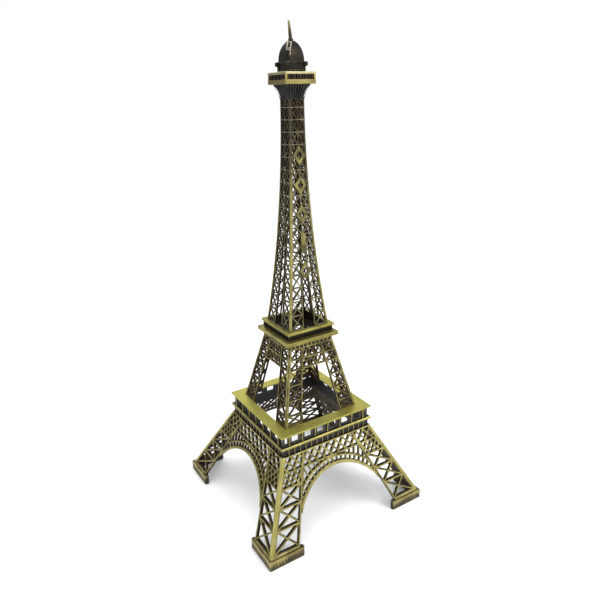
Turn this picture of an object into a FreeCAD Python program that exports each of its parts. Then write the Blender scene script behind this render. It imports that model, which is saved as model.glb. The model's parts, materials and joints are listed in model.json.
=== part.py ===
import FreeCAD, Part
import math
import os

# Miniature lattice tower: a square, tapering souvenir tower of cast, brass-plated lattice.
# Millimetres, +Z up, origin on the ground in the middle of the four feet.
# Each piece is modelled on the front (-Y) side, or on its right-hand corner, and turned about Z.

# Foot plinths
base_half = 62.9            # half of the width over the plinths
plinth_height = 6.7
plinth_thickness = 3.4
plinth_arm = 25.9
plinth_end_radius = 1.5
flute_pitch = 2.2
flute_width = 1.1
flute_depth = 0.4
flute_bottom = 1.0
flute_height = 3.6

# Lower storey: four splayed legs, arches and girders
plinth_lip = 1.3            # the plinths stand this far outside the legs
lower_foot_half = base_half - plinth_lip
lower_top_half = 36.4
lower_top = 57.0
girder_bottom = 48.0
leg_mesh_bottom = 40.0      # crossed bays below this height, diamond mesh above it
leg_bays = 3
leg_bay_ratio = 0.94        # each bay is this much lower than the one under it
lower_post = 2.4            # side of the corner bars
post_chamfer = 0.3          # share of the side taken off the outer edge
lower_depth = 2.2           # horizontal thickness of the flat castings
lower_reveal = 0.35         # raised bars stand this far proud of the mesh
lower_bar = 1.6
raised_margin = 0.2         # share of a bar left bare on each side of its raised line
lower_strut = 1.1
arch_span_half = 39.0
arch_rise = 42.0
leg_lean = 0.406            # slope of the inner edge of a leg in its own face
arch_tip_width = 0.7
arch_band = 1.9             # smooth band at the edge of the arch
ladder_height = 2.3
ladder_rung = 0.9
ladder_pitch_deg = 4.9
arch_outer_band = 1.3
spoke_width = 0.9
spoke_pitch_deg = 4.7
spoke_focus = -10.0         # height of the point that the spandrel spokes lean away from
girder_pitch = 5.9
girder_row = 3.0
leg_mesh_pitch = 4.2
leg_mesh_row = 2.6
mesh_strut = 1.15

# Platform 1
platform_inner_half = 33.4
frieze_half = 35.2
frieze_height = 4.8
frieze_rib_pitch = 4.4
frieze_rib_width = 0.55
frieze_rib_depth = 0.6
ledge_half = 36.8
ledge_height = 2.0
ledge_bevel = 0.5
parapet_half = 34.8
parapet_height = 7.4
window_pitch = 10.1
window_width = 5.5
window_height = 5.0
window_sill = 1.4
end_window_width = 2.4
end_window_offset = 32.0
colonnette_width = 1.0
colonnette_depth = 0.6
deck_half = 36.7
deck_thickness = 1.2

# Middle storey
mid_foot_half = 28.9        # half width at the top of the deck
mid_top_half = 17.4
mid_top = 122.0
mid_foot_drop = 2.4         # the legs reach this far below the top of the deck
mid_foot_bar = 1.2
mid_inner_foot = 15.5       # half width of the gap between the legs at the deck
mid_inner_top = 7.0
mid_short_bay = 5.6
mid_girder_bottom = 108.0
mid_leg_bays = 3
mid_bay_ratio = 0.99
mid_girder_rows = 2
mid_girder_cells = 3
mid_post = 1.8
mid_depth = 1.7
mid_reveal = 0.3
mid_bar = 1.2
mid_strut = 0.8

# Platform 2
band_half = 17.0
band_height = 3.2
band_thickness = 2.0
band_rib_pitch = 3.2
band_rib_width = 0.8
band_rib_depth = 0.5
rim_half = 20.2
rim_height = 3.4
rim_slope = 0.8
rim_slope_run = 3.2
rim_inner_half = 13.3
wall_half = 16.6
wall_height = 3.4
wall_thickness = 0.8
wall_post = 1.3
upper_rim_half = 18.1
upper_rim_height = 1.8

# Upper shaft
shaft_foot_half = 15.25
shaft_top_half = 5.45
shaft_top = 276.9
shaft_sweep = 1.9           # power of the concave taper
shaft_bays = 17
shaft_short_bay = 4.6       # the part bay left under the capital
shaft_bay_ratio = 0.983
shaft_gap_half = 4.3        # half width of the slot between the two halves at the foot
shaft_gap_tip = 0.5
shaft_gap_bays = 7
shaft_post = 1.4
shaft_depth = 1.3
shaft_reveal = 0.25
shaft_bar = 0.9
shaft_strut = 0.65
ornament_width = 8.6
ornament_height = 12.0
ornament_wall = 2.1
ornament_depth = 0.9
bar_ornament_width = 3.5
ornament_top = 244.5        # centre of the highest ornament
ornament_pitch = 18.1
ornament_count = 5
bar_ornament = 3            # counted from the top, starting at 0

# Top
capital_half = 8.3
capital_height = 8.3
capital_sweep = 1.6          # power of the concave flare
capital_groove = 0.45
capital_ribs = 8
capital_rib_width = 0.65
gallery_half = 10.4
gallery_band = 2.4
gallery_wall_half = 9.7
gallery_wall_thickness = 1.2
gallery_wall_height = 2.9
gallery_window_pitch = 4.0
gallery_window_width = 2.3
gallery_windows = 4
gallery_sill = 0.35         # height of wall under and over the windows
gallery_roof = 1.5
gallery_roof_chamfer = 0.35
drum_half = 6.15
drum_height = 5.6
drum_panel_half = 4.75
drum_panel_recess = 0.4
drum_frame = 1.0
finial_half = 7.3
finial_side = 2.3
finial_height = 2.6
finial_chamfer = 0.45
dome_half = 5.7
dome_full_rise = 11.7       # rise of the whole elliptical curve, cut short by the mast's seat
dome_height = 11.2
dome_rib_width = 1.1
dome_rib_depth = 0.35
collar_radius = 1.5
collar_height = 0.9
mast_foot_radius = 1.1
mast_tip_radius = 0.6
mast_lean_deg = 5.0
mast_heading_deg = 148.0
total_height = 320.0

smallest_opening = 0.35     # openings with less area than this stay closed
tolerance = 0.01

V = FreeCAD.Vector
axis_z = V(0, 0, 1)
origin = V(0, 0, 0)

# Heights that follow from the sizes above
ledge_bottom = lower_top + frieze_height
ledge_top = ledge_bottom + ledge_height
deck_bottom = ledge_top + parapet_height
deck_top = deck_bottom + deck_thickness
mid_foot = deck_top - mid_foot_drop
band_top = mid_top + band_height
rim_top = band_top + rim_height
wall_top = rim_top + wall_height
shaft_foot = wall_top + upper_rim_height
gallery_bottom = shaft_top + capital_height
gallery_wall_bottom = gallery_bottom + gallery_band
gallery_roof_bottom = gallery_wall_bottom + gallery_wall_height
drum_bottom = gallery_roof_bottom + gallery_roof
dome_bottom = drum_bottom + drum_height
dome_top = dome_bottom + dome_height

side_names = ("front", "right", "back", "left")
corner_names = ("front_right", "back_right", "back_left", "front_left")


def taper(low, low_half, high, high_half):
    return lambda z: low_half + (high_half - low_half) * (z - low) / (high - low)


lower_half = taper(plinth_height, lower_foot_half, lower_top, lower_top_half)
mid_half = taper(deck_top, mid_foot_half, mid_top, mid_top_half)
mid_inner = taper(deck_top, mid_inner_foot, mid_top, mid_inner_top)


def shaft_half(z):
    rise = max(0.0, (z - shaft_foot) / (shaft_top - shaft_foot))
    return shaft_top_half + (shaft_foot_half - shaft_top_half) * (1 - rise) ** shaft_sweep


def bay_levels(low, high, count, ratio):
    first = (high - low) * (1 - ratio) / (1 - ratio ** count)
    return [low + first * (1 - ratio ** i) / (1 - ratio) for i in range(count + 1)]


# The inner edge of a leg touches the arch where both have the same slope.
tangent_angle = math.atan(leg_lean * arch_rise / arch_span_half)


def arch_point(offset, angle):
    across = (arch_span_half + offset) * math.cos(angle)
    return (across, (arch_rise + offset) * math.sin(angle))


def leg_inner(z):
    across, height = arch_point(0, tangent_angle)
    return across - leg_lean * (z - height)


# Flat polygons: lists of (across, height) points, anticlockwise and convex

def clip(polygon, start, end, margin=0.0):
    # What lies to the left of the line start-end and at least margin away from it
    run = (end[0] - start[0], end[1] - start[1])
    length = math.hypot(run[0], run[1])
    kept = []
    for a, b in zip(polygon, polygon[1:] + polygon[:1]):
        side_a = (run[0] * (a[1] - start[1]) - run[1] * (a[0] - start[0])) / length - margin
        side_b = (run[0] * (b[1] - start[1]) - run[1] * (b[0] - start[0])) / length - margin
        if side_a >= 0:
            kept.append(a)
        if side_a * side_b < 0:
            share = side_a / (side_a - side_b)
            kept.append((a[0] + share * (b[0] - a[0]), a[1] + share * (b[1] - a[1])))
    return kept


def clip_to(polygon, region):
    for start, end in zip(region, region[1:] + region[:1]):
        polygon = clip(polygon, start, end)
    return polygon


def area(polygon):
    pairs = zip(polygon, polygon[1:] + polygon[:1])
    return sum(a[0] * b[1] - b[0] * a[1] for a, b in pairs) / 2


def large_enough(polygons):
    return [p for p in polygons if len(p) > 2 and area(p) > smallest_opening]


def mirrored(polygons):
    return [[(-across, height) for across, height in reversed(p)] for p in polygons]


def crossed_bay(left_low, right_low, right_high, left_high, strut):
    # The four openings round a pair of crossed struts
    bay = [left_low, right_low, right_high, left_high]
    below_rising = clip(bay, right_high, left_low, strut / 2)
    above_rising = clip(bay, left_low, right_high, strut / 2)
    return large_enough([
        clip(below_rising, right_low, left_high, strut / 2),
        clip(below_rising, left_high, right_low, strut / 2),
        clip(above_rising, left_high, right_low, strut / 2),
        clip(above_rising, right_low, left_high, strut / 2),
    ])


def diamond_mesh(region, pitch, row, strut, centre_height):
    # Diamond openings in staggered rows, cut off at the edge of the region
    side = math.hypot(pitch / 2, row)
    share = 1 - strut / 2 * side / (pitch / 2 * row)
    reach_across = int(max(abs(p[0]) for p in region) / pitch) + 2
    reach_up = int(max(abs(p[1] - centre_height) for p in region) / row) + 2
    openings = []
    for j in range(-reach_up, reach_up + 1):
        height = centre_height + j * row
        for i in range(-reach_across, reach_across + 1):
            across = (i + 0.5 * (j % 2)) * pitch
            diamond = [
                (across - share * pitch / 2, height),
                (across, height - share * row),
                (across + share * pitch / 2, height),
                (across, height + share * row),
            ]
            openings.append(clip_to(diamond, region))
    return large_enough(openings)


# Solids

def turned(shape, quarters):
    copy = shape.copy()
    copy.rotate(origin, axis_z, 90 * quarters)
    return copy


def fused(shapes):
    return shapes[0].fuse(shapes[1:])


def on_face(point, half, depth):
    across, height = point
    return V(across, depth - half(height), height)


def outline_wire(points, half, depth):
    placed = [on_face(p, half, depth) for p in points]
    return Part.makePolygon(placed + placed[:1])


def pierced_face(wires):
    # The first wire is the outline and the others are holes in it.
    return Part.makeFace(wires, "Part::FaceMakerBullseye")


def plate(outline, openings, half, outer_depth, inner_depth):
    # A flat casting of the front face, from outer_depth to inner_depth behind the face's surface
    wires = [outline_wire(p, half, outer_depth) for p in [outline] + openings]
    return pierced_face(wires).extrude(V(0, inner_depth - outer_depth, 0))


def raised(outline, half, reveal):
    return plate(outline, [], half, 0, reveal)


def solid_between(first, second):
    # A solid from two matching polygons of 3D points
    sides = zip(first, first[1:] + first[:1], second[1:] + second[:1], second)
    faces = [Part.Face(Part.makePolygon([a, b, c, d, a])) for a, b, c, d in sides]
    for end in (first, second):
        faces.append(Part.Face(Part.makePolygon(end + end[:1])))
    solid = Part.Solid(Part.Shell(faces))
    if solid.Volume < 0:
        solid.reverse()
    return solid


def mitred_bar(section):
    # The front side of a square ring; the section's points are (half width, height)
    left = [V(-half, -half, height) for half, height in section]
    right = [V(half, -half, height) for half, height in section]
    return solid_between(left, right)


def square_ring(section):
    bar = mitred_bar(section)
    return fused([turned(bar, i) for i in range(4)]).removeSplitter()


def rectangle(inner, outer, low, high):
    return [(inner, low), (outer, low), (outer, high), (inner, high)]


def box(x_low, x_high, y_low, y_high, z_low, z_high):
    return Part.makeBox(x_high - x_low, y_high - y_low, z_high - z_low, V(x_low, y_low, z_low))


def centred_places(pitch, half_run):
    # Places at a fixed pitch, symmetric about the middle, with one in the middle
    count = int(half_run / pitch)
    return [i * pitch for i in range(-count, count + 1)]


def corner_post(heights, half, side):
    # The bar at the front right corner, straight from each height to the next
    chamfer = side * post_chamfer
    def section(z):
        w = half(z)
        return [
            V(w - side, -w, z),
            V(w - chamfer, -w, z),
            V(w, -w + chamfer, z),
            V(w, -w + side, z),
            V(w - side, -w + side, z),
        ]
    pieces = [solid_between(section(a), section(b)) for a, b in zip(heights, heights[1:])]
    return pieces[0] if len(pieces) == 1 else fused(pieces)


def foot_plinth():
    inner = base_half - plinth_thickness
    end = base_half - plinth_arm
    points = [
        V(end, -base_half, 0), V(base_half, -base_half, 0), V(base_half, -end, 0),
        V(inner, -end, 0), V(inner, -inner, 0), V(end, -inner, 0),
    ]
    body = Part.Face(Part.makePolygon(points + points[:1])).extrude(V(0, 0, plinth_height))
    ends = []
    for edge in body.Edges:
        middle = edge.CenterOfMass
        upright = abs(middle.z - plinth_height / 2) < tolerance
        if upright and (abs(middle.x - end) < tolerance or abs(middle.y + end) < tolerance):
            ends.append(edge)
    body = body.makeFillet(plinth_end_radius, ends)
    count = int((plinth_arm - 2 * plinth_end_radius) / flute_pitch)
    cutters = []
    for i in range(count):
        across = base_half - plinth_end_radius - (i + 0.5) * flute_pitch
        flute = box(across - flute_width / 2, across + flute_width / 2,
                    -base_half - 1, -base_half + flute_depth,
                    flute_bottom, flute_bottom + flute_height)
        cutters.append(flute)
        cutters.append(flute.mirror(origin, V(1, 1, 0)))
    return body.cut(cutters)


def leg_lattice():
    # The right-hand wing of the front face, from the plinth to the girder
    levels = bay_levels(plinth_height + lower_bar, leg_mesh_bottom, leg_bays, leg_bay_ratio)
    edge = lambda z: lower_half(z) - lower_post
    inner = lambda z: leg_inner(z) + lower_bar
    outer = lambda z: edge(z) - lower_bar / 2
    outline = [(leg_inner(plinth_height), plinth_height), (edge(plinth_height), plinth_height),
               (edge(girder_bottom), girder_bottom), (leg_inner(girder_bottom), girder_bottom)]
    openings = []
    half_bar = lower_strut / 2
    for low, high in zip(levels, levels[1:]):
        low = low + (half_bar if low > levels[0] else 0)
        high = high - half_bar
        openings += crossed_bay((inner(low), low), (outer(low), low),
                                (outer(high), high), (inner(high), high), lower_strut)
    low = leg_mesh_bottom + half_bar
    high = girder_bottom - half_bar
    region = [(inner(low), low), (outer(low), low), (outer(high), high), (inner(high), high)]
    openings += diamond_mesh(region, leg_mesh_pitch, leg_mesh_row, mesh_strut, (low + high) / 2)
    body = plate(outline, openings, lower_half, lower_reveal, lower_depth)
    rib_in = lower_bar * raised_margin
    rib_out = lower_bar * (1 - raised_margin)
    rib = raised([(leg_inner(plinth_height) + rib_in, plinth_height),
                  (leg_inner(plinth_height) + rib_out, plinth_height),
                  (leg_inner(girder_bottom) + rib_out, girder_bottom),
                  (leg_inner(girder_bottom) + rib_in, girder_bottom)], lower_half, lower_reveal)
    strips = [rib]
    for level in levels[1:]:
        low = level - half_bar * (1 - raised_margin)
        high = level + half_bar * (1 - raised_margin)
        strips.append(raised([(leg_inner(low) + rib_out, low), (edge(low), low),
                              (edge(high), high), (leg_inner(high) + rib_out, high)],
                             lower_half, lower_reveal))
    low = plinth_height
    high = plinth_height + lower_bar * (1 - raised_margin)
    strips.append(raised([(leg_inner(low) + rib_out, low), (edge(low), low),
                          (edge(high), high), (leg_inner(high) + rib_out, high)],
                         lower_half, lower_reveal))
    return fused([body] + strips)


def arch_gap(angle):
    across, height = arch_point(0, angle)
    return leg_inner(height) - across


def arch_spring_angle():
    # The arch leaves the leg where the band between them has become arch_tip_width wide.
    low = tangent_angle
    high = math.pi / 2
    for _ in range(50):
        middle = (low + high) / 2
        if arch_gap(middle) < arch_tip_width:
            low = middle
        else:
            high = middle
    return high


def arch_edge(offset, start, end):
    steps = 24
    angles = [start + (end - start) * i / steps for i in range(steps + 1)]
    curve = Part.BSplineCurve()
    curve.interpolate([on_face(arch_point(offset, a), lower_half, 0) for a in angles])
    return curve.toShape()


def arch():
    spring = arch_spring_angle()
    tip = arch_point(0, spring)[1]
    corners = [(-arch_point(0, spring)[0], tip), (-leg_inner(tip), tip),
               (-leg_inner(girder_bottom), girder_bottom), (leg_inner(girder_bottom), girder_bottom),
               (leg_inner(tip), tip), (arch_point(0, spring)[0], tip)]
    placed = [on_face(p, lower_half, 0) for p in corners]
    straight = [Part.makeLine(a, b) for a, b in zip(placed, placed[1:])]
    outer = Part.Wire([arch_edge(0, spring, math.pi - spring)] + straight)
    leg_low = (leg_inner(0), 0)
    leg_high = (leg_inner(lower_top), lower_top)
    ladder_low = arch_band
    ladder_high = arch_band + ladder_height
    pitch = math.radians(ladder_pitch_deg)
    rung = ladder_rung / (2 * arch_rise)
    openings = []
    for i in range(int((math.pi / 2 - tangent_angle) / pitch) + 1):
        near = math.pi / 2 - i * pitch - rung
        far = math.pi / 2 - (i + 1) * pitch + rung
        cell = [arch_point(ladder_low, near), arch_point(ladder_low, far),
                arch_point(ladder_high, far), arch_point(ladder_high, near)]
        openings.append(clip(cell, leg_low, leg_high, lower_strut / 2))
    spandrel_low = ladder_high + arch_outer_band
    ceiling = girder_bottom - lower_strut / 2
    pitch = math.radians(spoke_pitch_deg)
    spoke = spoke_width / (2 * arch_rise)
    for i in range(int((math.pi / 2 - tangent_angle) / pitch) + 1):
        feet = []
        tops = []
        for angle in (math.pi / 2 - i * pitch - spoke, math.pi / 2 - (i + 1) * pitch + spoke):
            across, height = arch_point(spandrel_low, angle)
            reach = (2 * girder_bottom - spoke_focus) / (height - spoke_focus)
            feet.append((across, height))
            tops.append((across * reach, spoke_focus + (height - spoke_focus) * reach))
        cell = [feet[0], feet[1], tops[1], tops[0]]
        cell = clip(cell, (lower_foot_half, ceiling), (-lower_foot_half, ceiling))
        openings.append(clip(cell, leg_low, leg_high, lower_strut / 2))
    openings = large_enough(openings)
    holes = [outline_wire(p, lower_half, 0) for p in openings + mirrored(openings)]
    body = pierced_face([outer] + holes).extrude(V(0, lower_depth - lower_reveal, 0))
    body.translate(V(0, lower_reveal, 0))
    band = arch_rib(0, arch_band * (1 - raised_margin), spring, tip)
    line_low = ladder_high + arch_outer_band * raised_margin
    line = arch_rib(line_low, ladder_high + arch_outer_band * (1 - raised_margin), spring, tip)
    return fused([body, band, line])


def arch_rib(offset_low, offset_high, spring, tip):
    # A raised line along the arch, ending where it meets the legs
    def end_angle(offset):
        low = 0.0
        high = math.pi / 2
        for _ in range(50):
            middle = (low + high) / 2
            across, height = arch_point(offset, middle)
            if height < tip or across > leg_inner(height):
                low = middle
            else:
                high = middle
        return high
    start_low = end_angle(offset_low)
    start_high = end_angle(offset_high)
    lower_edge = arch_edge(offset_low, start_low, math.pi - start_low)
    upper_edge = arch_edge(offset_high, start_high, math.pi - start_high)
    ends = []
    for sign in (1, -1):
        low_point = arch_point(offset_low, start_low)
        high_point = arch_point(offset_high, start_high)
        ends.append(Part.makeLine(on_face((sign * low_point[0], low_point[1]), lower_half, 0),
                                  on_face((sign * high_point[0], high_point[1]), lower_half, 0)))
    wire = Part.Wire(Part.sortEdges([lower_edge, upper_edge] + ends)[0])
    return Part.Face(wire).extrude(V(0, lower_reveal, 0))


def girder():
    edge = lambda z: lower_half(z) - lower_post
    half_bar = lower_strut / 2
    low = girder_bottom + half_bar
    high = lower_top - lower_bar / 2
    margin = half_bar
    outline = [(-edge(girder_bottom), girder_bottom), (edge(girder_bottom), girder_bottom),
               (edge(lower_top), lower_top), (-edge(lower_top), lower_top)]
    middle = [(-leg_inner(low) + margin, low), (leg_inner(low) - margin, low),
              (leg_inner(high) - margin, high), (-leg_inner(high) + margin, high)]
    side = [(leg_inner(low) + lower_bar, low), (edge(low) - margin, low),
            (edge(high) - margin, high), (leg_inner(high) + lower_bar, high)]
    centre = (low + high) / 2
    openings = diamond_mesh(middle, girder_pitch, girder_row, mesh_strut, centre)
    side_openings = diamond_mesh(side, girder_pitch, girder_row, mesh_strut, centre)
    openings += side_openings + mirrored(side_openings)
    body = plate(outline, openings, lower_half, lower_reveal, lower_depth)
    strips = []
    rib_in = lower_bar * raised_margin
    rib_out = lower_bar * (1 - raised_margin)
    ribs = [(leg_inner(low) + rib_in, low), (leg_inner(low) + rib_out, low),
            (leg_inner(high) + rib_out, high), (leg_inner(high) + rib_in, high)]
    for rib in [ribs] + mirrored([ribs]):
        strips.append(raised(rib, lower_half, lower_reveal))
    for bottom, top in ((girder_bottom, low), (high, lower_top)):
        strips.append(raised([(-edge(bottom), bottom), (edge(bottom), bottom),
                              (edge(top), top), (-edge(top), top)], lower_half, lower_reveal))
    return fused([body] + strips)


def rib_row(places, half, width, depth, low, high):
    # Upright ribs on the front of a wall whose outer surface is at half
    return [box(x - width / 2, x + width / 2, -half - depth, -half, low, high) for x in places]


def frieze():
    ring = square_ring(rectangle(platform_inner_half, frieze_half, lower_top, ledge_bottom))
    places = centred_places(frieze_rib_pitch, frieze_half - frieze_rib_width)
    ribs = rib_row(places, frieze_half, frieze_rib_width, frieze_rib_depth, lower_top, ledge_bottom)
    ledge = square_ring([(platform_inner_half, ledge_bottom), (ledge_half - ledge_bevel, ledge_bottom),
                         (ledge_half, ledge_bottom + ledge_bevel),
                         (ledge_half, ledge_top - ledge_bevel), (ledge_half - ledge_bevel, ledge_top),
                         (platform_inner_half, ledge_top)])
    all_ribs = [turned(rib, i) for i in range(4) for rib in ribs]
    return fused([ring, ledge] + all_ribs)


def parapet_wall():
    wall = mitred_bar(rectangle(platform_inner_half, parapet_half, ledge_top, deck_bottom))
    low = ledge_top + window_sill
    windows = []
    count = int((end_window_offset - end_window_width / 2) / window_pitch)
    middles = [(i + 0.5) * window_pitch for i in range(-count, count)]
    spans = [(x - window_width / 2, x + window_width / 2) for x in middles]
    for sign in (-1, 1):
        middle = sign * end_window_offset
        spans.append((middle - end_window_width / 2, middle + end_window_width / 2))
    for start, end in spans:
        windows.append(box(start, end, -parapet_half - 1, -platform_inner_half + 1,
                           low, low + window_height))
    places = [i * window_pitch for i in range(-count, count + 1)]
    colonnettes = rib_row(places, parapet_half, colonnette_width, colonnette_depth,
                          ledge_top, deck_bottom)
    return fused([wall.cut(windows)] + colonnettes)


def deck_strip():
    # The inner edge leans with the legs of the middle storey, which pass through the deck.
    return mitred_bar([(mid_half(deck_bottom), deck_bottom), (deck_half, deck_bottom),
                       (deck_half, deck_top), (mid_half(deck_top), deck_top)])


def mid_levels():
    first = deck_top + mid_foot_bar
    levels = [first] + bay_levels(first + mid_short_bay, mid_girder_bottom, mid_leg_bays, mid_bay_ratio)
    rows = bay_levels(mid_girder_bottom, mid_top - mid_bar / 2, mid_girder_rows, mid_bay_ratio)
    return levels + rows[1:]


def mid_wing():
    # The right-hand wing of the front face, beside the corner bar
    edge = lambda z: mid_half(z) - mid_post
    inner = lambda z: mid_inner(z) + mid_bar
    outer = lambda z: edge(z) - mid_bar / 3
    outline = [(mid_inner(mid_foot), mid_foot), (edge(mid_foot), mid_foot),
               (edge(mid_top), mid_top), (mid_inner(mid_top), mid_top)]
    levels = mid_levels()
    openings = []
    strips = []
    half_bar = mid_strut / 2
    for low, high in zip(levels, levels[1:]):
        bottom = low + half_bar
        top = high - half_bar
        openings += crossed_bay((inner(bottom), bottom), (outer(bottom), bottom),
                                (outer(top), top), (inner(top), top), mid_strut)
        strips.append(raised([(inner(top), top), (edge(top), top),
                              (edge(high), high), (inner(high), high)], mid_half, mid_reveal))
    body = plate(outline, openings, mid_half, mid_reveal, mid_depth)
    foot = deck_top
    strips.append(raised([(mid_inner(foot) + mid_bar * raised_margin, foot),
                          (mid_inner(foot) + mid_bar * (1 - raised_margin), foot),
                          (mid_inner(mid_top) + mid_bar * (1 - raised_margin), mid_top),
                          (mid_inner(mid_top) + mid_bar * raised_margin, mid_top)], mid_half, mid_reveal))
    strips.append(raised([(mid_inner(mid_foot), mid_foot), (edge(mid_foot), mid_foot),
                          (edge(foot), foot), (mid_inner(foot), foot)], mid_half, mid_reveal))
    return fused([body] + strips)


def mid_leg():
    wing = mid_wing()
    post = corner_post([mid_foot, mid_top], mid_half, mid_post)
    return fused([post, wing, wing.mirror(origin, V(1, 1, 0))])


def mid_girder():
    low = mid_levels()[1 + mid_leg_bays]
    bottom = low - mid_bar / 2
    outline = [(-mid_inner(bottom), bottom), (mid_inner(bottom), bottom),
               (mid_inner(mid_top), mid_top), (-mid_inner(mid_top), mid_top)]
    levels = mid_levels()[1 + mid_leg_bays:]
    openings = []
    strips = []
    half_bar = mid_strut / 2
    for row_low, row_high in zip(levels, levels[1:]):
        start = row_low + half_bar
        end = row_high - half_bar
        for i in range(mid_girder_cells):
            left = lambda z: (2 * i / mid_girder_cells - 1) * (mid_inner(z) - half_bar)
            right = lambda z: (2 * (i + 1) / mid_girder_cells - 1) * (mid_inner(z) - half_bar)
            openings += crossed_bay((left(start) + half_bar, start), (right(start) - half_bar, start),
                                    (right(end) - half_bar, end), (left(end) + half_bar, end),
                                    mid_strut)
    body = plate(outline, openings, mid_half, mid_reveal, mid_depth)
    for level in levels:
        start = max(bottom, level - half_bar)
        end = min(mid_top, level + half_bar)
        strips.append(raised([(-mid_inner(start), start), (mid_inner(start), start),
                              (mid_inner(end), end), (-mid_inner(end), end)],
                             mid_half, mid_reveal))
    return fused([body] + strips)


def platform_2_ledge():
    inner = band_half - band_thickness
    band = square_ring(rectangle(inner, band_half, mid_top, band_top))
    ribs = rib_row(centred_places(band_rib_pitch, band_half - band_rib_width), band_half,
                   band_rib_width, band_rib_depth, mid_top, band_top)
    all_ribs = [turned(rib, i) for i in range(4) for rib in ribs]
    rim = square_ring([(rim_inner_half, band_top), (rim_half, band_top),
                       (rim_half, rim_top - rim_slope), (rim_half - rim_slope_run, rim_top),
                       (rim_inner_half, rim_top)])
    return fused([band, rim] + all_ribs)


def platform_2_wall():
    ring = square_ring(rectangle(wall_half - wall_thickness, wall_half, rim_top, wall_top))
    post = box(wall_half - wall_thickness, wall_half + wall_post / 2,
               -wall_half - wall_post / 2, -wall_half + wall_thickness, rim_top, wall_top)
    return fused([ring] + [turned(post, i) for i in range(4)])


def platform_2_rim():
    return square_ring(rectangle(shaft_foot_half, upper_rim_half, wall_top, shaft_foot))


def shaft_levels():
    whole_bays = bay_levels(shaft_foot, shaft_top - shaft_short_bay, shaft_bays, shaft_bay_ratio)
    return whole_bays + [shaft_top]


def shaft_lattice():
    levels = shaft_levels()
    gap = taper(levels[0], shaft_gap_half, levels[shaft_gap_bays], shaft_gap_tip)
    gap_foot = gap(shaft_foot)
    foot_half = lambda z: shaft_foot_half
    edge_foot = shaft_foot_half - shaft_post
    pieces = []
    foot = rectangle(gap_foot, edge_foot, rim_top, shaft_foot)
    for outline in [foot] + mirrored([foot]):
        pieces.append(plate(outline, [], foot_half, 0, shaft_depth))
    half_bar = shaft_strut / 2
    for i, (low, high) in enumerate(zip(levels, levels[1:])):
        half = taper(low, shaft_half(low), high, shaft_half(high))
        edge = lambda z: half(z) - shaft_post
        split = i < shaft_gap_bays
        inner = (lambda z: gap(z)) if split else (lambda z: 0.0)
        bar = shaft_bar if split else shaft_bar / 2
        bottom = low + half_bar
        top = high - half_bar
        openings = crossed_bay((inner(bottom) + bar, bottom), (edge(bottom) - half_bar, bottom),
                               (edge(top) - half_bar, top), (inner(top) + bar, top), shaft_strut)
        if split:
            outline = [(inner(low), low), (edge(low), low), (edge(high), high), (inner(high), high)]
            near = raised_margin * bar
            far = bar - near
            rib = [(inner(low) + near, low), (inner(low) + far, low),
                   (inner(high) + far, high), (inner(high) + near, high)]
            strip = [(inner(top) + bar, top), (edge(top), top), (edge(high), high),
                     (inner(high) + bar, high)]
            for shape, cut in ((outline, openings), (mirrored([outline])[0], mirrored(openings))):
                pieces.append(plate(shape, cut, half, shaft_reveal, shaft_depth))
            for shape in [rib, strip] + mirrored([rib, strip]):
                pieces.append(raised(shape, half, shaft_reveal))
        else:
            outline = [(-edge(low), low), (edge(low), low), (edge(high), high), (-edge(high), high)]
            far = (1 - raised_margin) * bar
            rib = [(-far, low), (far, low), (far, high), (-far, high)]
            strip = [(-edge(top), top), (edge(top), top), (edge(high), high), (-edge(high), high)]
            pieces.append(plate(outline, openings + mirrored(openings), half,
                                shaft_reveal, shaft_depth))
            pieces.append(raised(clip(rib, (1, top), (-1, top)), half, shaft_reveal))
            pieces.append(raised(strip, half, shaft_reveal))
    return fused(pieces)


def shaft_ornaments():
    # Raised ornaments that lie on the front face and follow its curve
    levels = shaft_levels()
    back = [V(0, -shaft_half(z), z) for z in levels]
    front = [p - V(0, ornament_depth, 0) for p in reversed(back)]
    skin = Part.Face(Part.makePolygon(back + front + back[:1])).extrude(V(ornament_width, 0, 0))
    skin.translate(V(-ornament_width / 2, 0, 0))
    ornaments = []
    for i in range(ornament_count):
        centre = ornament_top - i * ornament_pitch
        half_width = (bar_ornament_width if i == bar_ornament else ornament_width) / 2
        half_height = ornament_height / 2
        lozenge = [V(-half_width, 0, centre), V(0, 0, centre - half_height),
                   V(half_width, 0, centre), V(0, 0, centre + half_height)]
        wires = [Part.makePolygon(lozenge + lozenge[:1])]
        if i == bar_ornament:
            bar = rectangle(-half_width, half_width, centre - half_height, centre + half_height)
            corners = [V(x, 0, z) for x, z in bar]
            wires = [Part.makePolygon(corners + corners[:1])]
        else:
            share = 1 - ornament_wall / half_width
            hole = [V(p.x * share, 0, centre + (p.z - centre) * share) for p in lozenge]
            wires.append(Part.makePolygon(hole + hole[:1]))
        prism = pierced_face(wires).extrude(V(0, -2 * shaft_foot_half, 0))
        ornaments.append(skin.common(prism).Solids[0])
    return Part.makeCompound(ornaments)


def profile_prism(profile):
    # A solid whose front and back follow a profile of (half width, height) points
    widest = max(half for half, height in profile)
    curve = Part.BSplineCurve()
    curve.interpolate([V(0, -half, height) for half, height in profile])
    mirrored_curve = curve.toShape().mirror(origin, V(0, 1, 0))
    low, high = profile[0], profile[-1]
    bottom = Part.makeLine(V(0, low[0], low[1]), V(0, -low[0], low[1]))
    top = Part.makeLine(V(0, -high[0], high[1]), V(0, high[0], high[1]))
    wire = Part.Wire(Part.sortEdges([curve.toShape(), top, mirrored_curve, bottom])[0])
    prism = Part.Face(wire).extrude(V(2 * widest, 0, 0))
    prism.translate(V(-widest, 0, 0))
    return prism


def vault(profile):
    # A square body with the same profile on all four sides
    prism = profile_prism(profile)
    return prism.common(turned(prism, 1))


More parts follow.
